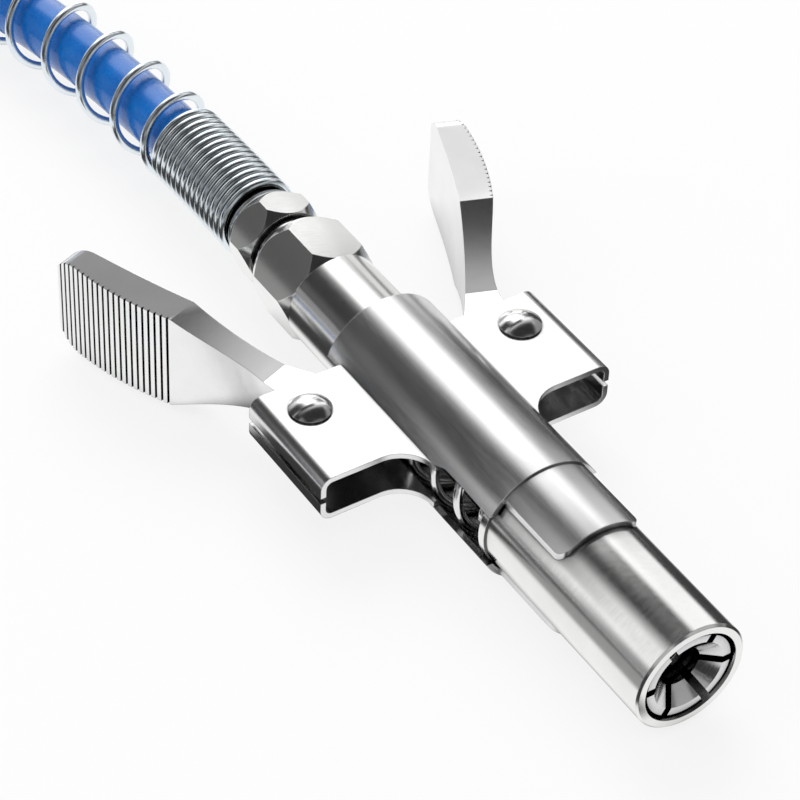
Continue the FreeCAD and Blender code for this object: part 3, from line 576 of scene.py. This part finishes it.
def world():
    """White to the view, and a plain grey for all that it lights and for metal to mirror."""
    scene_world = bpy.data.worlds.new("studio")
    bpy.context.scene.world = scene_world
    scene_world.use_nodes = True
    tree = scene_world.node_tree
    background = tree.nodes["Background"]
    background.inputs["Color"].default_value = WORLD_GREY
    background.inputs["Strength"].default_value = 1.0
    white = tree.nodes.new("ShaderNodeBackground")
    white.inputs["Color"].default_value = WORLD_WHITE
    rays = tree.nodes.new("ShaderNodeLightPath")
    mix = tree.nodes.new("ShaderNodeMixShader")
    tree.links.new(rays.outputs["Is Camera Ray"], mix.inputs["Fac"])
    tree.links.new(background.outputs[0], mix.inputs[1])
    tree.links.new(white.outputs[0], mix.inputs[2])
    tree.links.new(mix.outputs[0], tree.nodes["World Output"].inputs["Surface"])


# Glowing cards that paint reflections, light and dark, which only shiny surfaces mirror, bent round the
# line on the floor below the bore. Each has the angles from straight up where it starts, is whole, is
# whole no more and ends, the same four places along Y, a grey and the distance from that line
CARDS = [
    ("key", (-6, 10, 34, 52), (0.188, 0.198, 0.59, 0.60), 2.0, 0.36),
    ("left_black", (-145, -72, -71, 0), (0.020, 0.026, 0.095, 0.105), 0.03, 0.07),
    ("tongue_black", (-60, -55, -42, -2), (-0.002, 0.002, 0.020, 0.026), 0.03, 0.07),
    ("right_black", (50, 66, 84, 96), (0.014, 0.018, 0.044, 0.050), 0.05, 0.07),
    ("left_grey", (-60, -46, -20, -6), (0.19, 0.20, 0.47, 0.48), 0.05, 0.38),
    ("right_grey", (34, 40, 85, 91), (0.19, 0.20, 0.47, 0.48), 0.25, 0.38),
    ("sleeve_left", (-78, -68, -38, -26), (0.10, 0.11, 0.155, 0.165), 1.1, 0.33),
    ("sleeve_mid_left", (-86, -80, -64, -58), (0.155, 0.162, 0.184, 0.192), 1.0, 0.335),
    ("sleeve_over", (-26, -16, 20, 31), (0.095, 0.105, 0.162, 0.172), 0.02, 0.32),
    ("sleeve_right", (14, 26, 80, 88), (0.10, 0.11, 0.166, 0.176), 1.2, 0.33),
    ("sleeve_low_right", (74, 82, 96, 102), (0.09, 0.10, 0.158, 0.168), 0.04, 0.31),
    ("hexagon", (46, 51, 77, 82), (0.262, 0.27, 0.307, 0.315), 1.3, 0.30),
    ("guard", (-10, -2, 89, 97), (0.325, 0.335, 0.59, 0.60), 2.0, 0.28),
    ("rear_white", (-60, -52, 89, 97), (0.52, 0.56, 1.07, 1.10), 1.2, 0.37),
    ("front_black", (-40, -28, 42, 54), (-0.28, -0.20, 0.035, 0.085), 0.03, 0.35),
    ("front_band", (-16, -6, 16, 26), (-1.20, -1.15, -0.30, -0.22), 0.10, 0.36),
    ("front_low_left", (-97, -90, -80, -70), (-1.20, -1.15, -0.22, -0.16), 0.15, 0.36),
    ("front_low_right", (70, 80, 90, 97), (-1.20, -1.15, -0.22, -0.16), 0.15, 0.36),
    ("front_grey", (-60, -50, 50, 60), (0.0, 0.02, 0.17, 0.19), 0.6, 0.40),
    ("dome", (-97, -95, 95, 97), (-0.24, -0.16, 1.15, 1.20), 0.3, 0.42),
]

# Flat glowing cards of painted reflections, just off the floor or over the levers: reach along X and
# along Y, the soft edge of both, a grey and the height
FLAT_CARDS = [
    ("low_left", (-0.30, -0.055), (-0.20, 0.30), 0.012, 0.10, 0.0003),
    ("sleeve_low_left", (-0.12, -0.022), (-0.055, 0.004), 0.006, 0.35, 0.0004),
    ("low_right", (0.016, 0.50), (-0.20, 0.03), 0.012, 0.05, 0.0005),
    ("by_flange", (-0.048, -0.012), (-0.016, 0.013), 0.003, 0.04, 0.0006),
    ("by_neck", (-0.027, -0.009), (0.006, 0.07), 0.003, 0.05, 0.0007),
    ("by_mouth", (-0.30, -0.0015), (-0.40, -0.0635), 0.002, 0.05, 0.0008),
    ("far_right", (0.10, 0.60), (-0.20, 0.35), 0.02, 0.05, 0.0009),
    ("over_left_pad", (-0.040, -0.0165), (0.0205, 0.060), 0.001, 0.30, 0.0175),
    ("over_right_pad", (0.024, 0.060), (0.030, 0.070), 0.005, 0.85, 0.030),
]

# Flat strips that make up the bend of a card
CARD_BEND_STEPS = 12


def soft_span(first, whole, whole_end, last, steps=1):
    """Places from one end to the other, each with its cover: none at both ends, full in between."""
    inner = [(whole + (whole_end - whole) * step / steps, 1.0) for step in range(steps + 1)]
    return [(first, 0.0)] + inner + [(last, 0.0)]


def card(name, rows, grey):
    """Glowing sheet through rows of points, each with how far it covers what is behind it."""
    data = bpy.data.meshes.new(name)
    width = len(rows[0])
    spots = [spot for row in rows for spot, cover in row]
    covers = [cover for row in rows for spot, cover in row]
    faces = []
    for row in range(len(rows) - 1):
        for column in range(width - 1):
            corner = row * width + column
            faces.append((corner, corner + 1, corner + width + 1, corner + width))
    data.from_pydata(spots, [], faces)
    data.attributes.new("cover", "FLOAT", "POINT").data.foreach_set("value", covers)
    material = bpy.data.materials.new(name)
    material.use_nodes = True
    tree = material.node_tree
    tree.nodes.remove(tree.nodes["Principled BSDF"])
    glow = tree.nodes.new("ShaderNodeEmission")
    glow.inputs["Strength"].default_value = grey
    clear = tree.nodes.new("ShaderNodeBsdfTransparent")
    veil = tree.nodes.new("ShaderNodeAttribute")
    veil.attribute_name = "cover"
    mix = tree.nodes.new("ShaderNodeMixShader")
    tree.links.new(veil.outputs["Fac"], mix.inputs["Fac"])
    tree.links.new(clear.outputs[0], mix.inputs[1])
    tree.links.new(glow.outputs[0], mix.inputs[2])
    tree.links.new(mix.outputs[0], tree.nodes["Material Output"].inputs["Surface"])
    data.materials.append(material)
    piece = bpy.data.objects.new(name, data)
    # Painted reflection: the card glows but is seen only in shiny surfaces, not by the camera, diffuse
    # light or shadows.
    piece.visible_camera = False
    piece.visible_diffuse = False
    piece.visible_shadow = False
    piece.visible_transmission = False
    bpy.context.scene.collection.objects.link(piece)


def cards():
    """All the glowing cards of painted reflections, the bent ones first."""
    for name, across, along, grey, distance in CARDS:
        rows = []
        for place, side_cover in soft_span(*along):
            row = []
            for angle, edge_cover in soft_span(*across, steps=CARD_BEND_STEPS):
                turn = math.radians(angle)
                spot = (distance * math.sin(turn), place, distance * math.cos(turn))
                row.append((spot, side_cover * edge_cover))
            rows.append(row)
        card(f"card_{name}", rows, grey)
    for name, across, along, edge, grey, height in FLAT_CARDS:
        columns = soft_span(across[0], across[0] + edge, across[1] - edge, across[1])
        lines = soft_span(along[0], along[0] + edge, along[1] - edge, along[1])
        rows = [[((x, y, height), cover * other) for x, other in columns] for y, cover in lines]
        card(f"card_{name}", rows, grey)


def facing(azimuth, elevation):
    """Unit vector from the part towards a place on the sky, as the camera's angles are given."""
    a, e = math.radians(azimuth), math.radians(elevation)
    return Vector((math.sin(a) * math.cos(e), -math.cos(a) * math.cos(e), math.sin(e)))


def soft_box(name, azimuth, elevation, distance, width, height, power):
    """Soft lamp that faces the part and is not mirrored in it."""
    data = bpy.data.lights.new(name, "AREA")
    data.shape = "RECTANGLE"
    data.size = width
    data.size_y = height
    data.energy = power
    lamp = bpy.data.objects.new(name, data)
    back = facing(azimuth, elevation)
    lamp.location = back * distance
    lamp.rotation_euler = back.to_track_quat("Z", "Y").to_euler()
    lamp.visible_glossy = False
    bpy.context.scene.collection.objects.link(lamp)


def lights():
    """All the lamps of the list."""
    for name, azimuth, elevation, distance, width, height, power in LAMPS:
        soft_box(name, azimuth, elevation, distance, width, height, power)


def camera():
    """Camera at the photograph's angle and distance."""
    data = bpy.data.cameras.new("camera")
    data.lens = CAMERA_LENS
    data.sensor_width = SENSOR_WIDTH
    data.clip_start = CAMERA_NEAR_LIMIT
    back = facing(CAMERA_AZIMUTH, CAMERA_ELEVATION)
    azimuth = math.radians(CAMERA_AZIMUTH)
    right = Vector((math.cos(azimuth), math.sin(azimuth), 0))
    up = back.cross(right)
    roll = math.radians(CAMERA_ROLL)
    across = right * math.cos(roll) + up * math.sin(roll)
    above = up * math.cos(roll) - right * math.sin(roll)
    view = Matrix((across, above, back)).transposed().to_4x4()
    view.translation = Vector(CAMERA_TARGET) + back * CAMERA_DISTANCE
    piece = bpy.data.objects.new("camera", data)
    piece.matrix_world = view
    bpy.context.scene.collection.objects.link(piece)
    bpy.context.scene.camera = piece


camera()
dress_nodes()
hose(Line(hose_line()))
main_spring()
rivet("left")
rivet("right")
floor()
cards()
world()
lights()
bpy.context.scene.view_settings.view_transform = "Standard"
